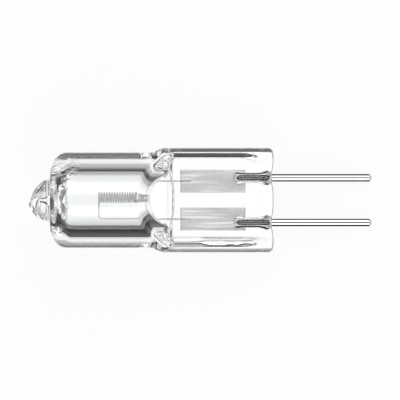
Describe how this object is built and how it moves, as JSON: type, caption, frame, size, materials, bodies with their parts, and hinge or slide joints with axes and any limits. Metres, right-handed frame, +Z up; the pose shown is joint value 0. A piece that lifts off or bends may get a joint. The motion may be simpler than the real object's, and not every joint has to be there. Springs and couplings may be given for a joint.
{
  "type": "halogen bulb",
  "caption": "Clear quartz halogen capsule with an axial coil filament, a flat pressed seal with metal foils and straight contact pins.",
  "frame": {"origin": "on the surface that the bulb lies on, under the middle of its box", "axes": "+X along the bulb towards the contact pins, +Y across the flat seal, +Z up from the surface"},
  "size_m": [0.0302, 0.0094, 0.0096],
  "materials": {
    "quartz": "gloss",
    "tungsten": "satin",
    "foil": "satin",
    "pin": "satin"
  },
  "bodies": {
    "root": {"envelope": "quartz", "filament": "tungsten", "foil_upper": "foil", "foil_lower": "foil", "pin_upper": "pin", "pin_lower": "pin"}
  },
  "joints": []
}
